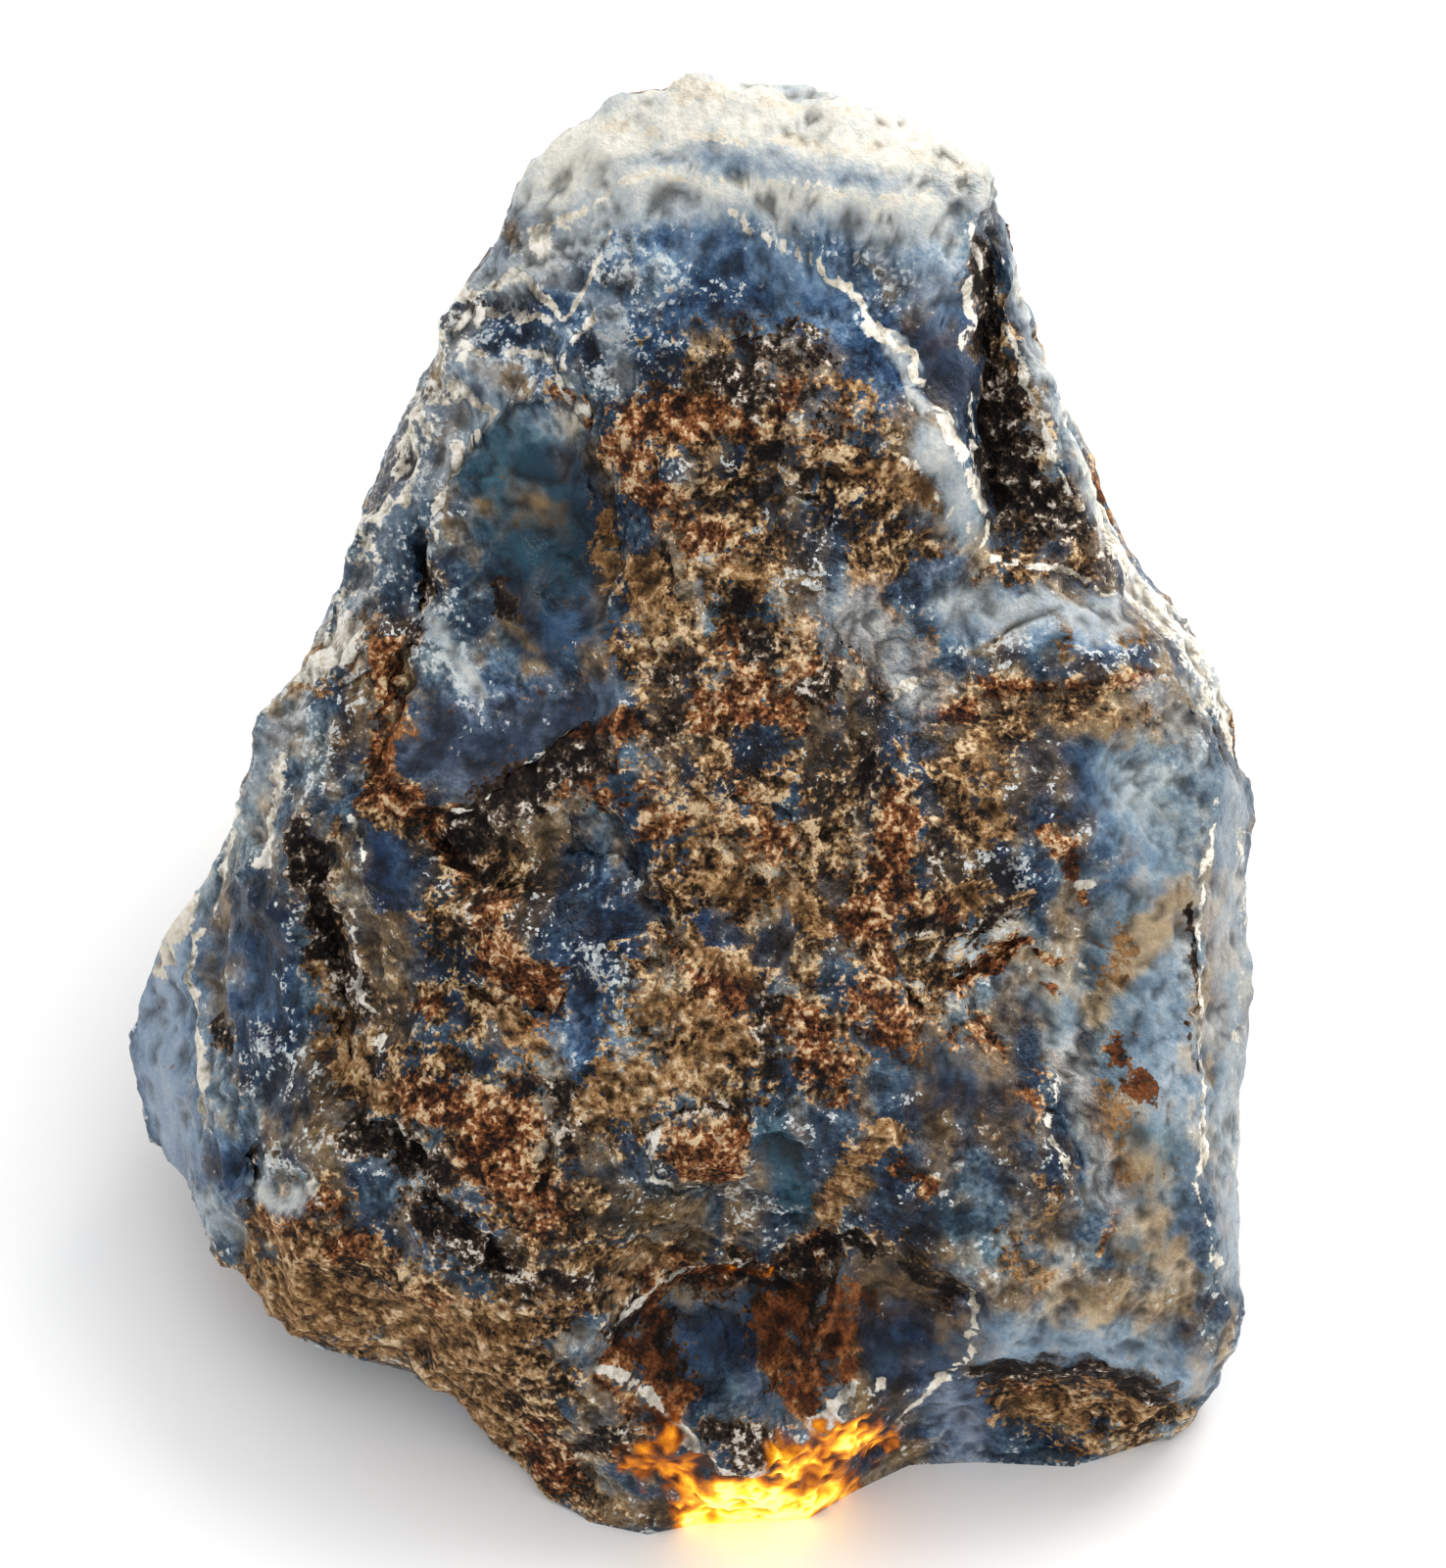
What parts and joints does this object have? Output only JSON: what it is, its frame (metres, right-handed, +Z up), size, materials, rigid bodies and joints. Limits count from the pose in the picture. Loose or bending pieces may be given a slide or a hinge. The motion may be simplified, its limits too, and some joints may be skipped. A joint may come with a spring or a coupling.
{
  "type": "rough blue opal stone",
  "caption": "Lump of rough common blue opal: lopsided tapering stone with broken glassy facets, rusty weathered crust and a flat fracture face to rest on.",
  "frame": {"origin": "middle of the stone's plan outline, on the level of the flat face it rests on", "axes": "+Z up from the flat base face; +Y from the broad sloping front to the steep back, along the longest extent; +X to the right seen from the front"},
  "size_m": [0.0584, 0.0642, 0.0572],
  "materials": {
    "opal": "broken common opal: waxy to glassy blue fracture faces with rusty brown and tan weathered crust, pale bruised edges and an amber translucent patch at the foot"
  },
  "bodies": {
    "root": {"opal": "opal"}
  },
  "joints": []
}
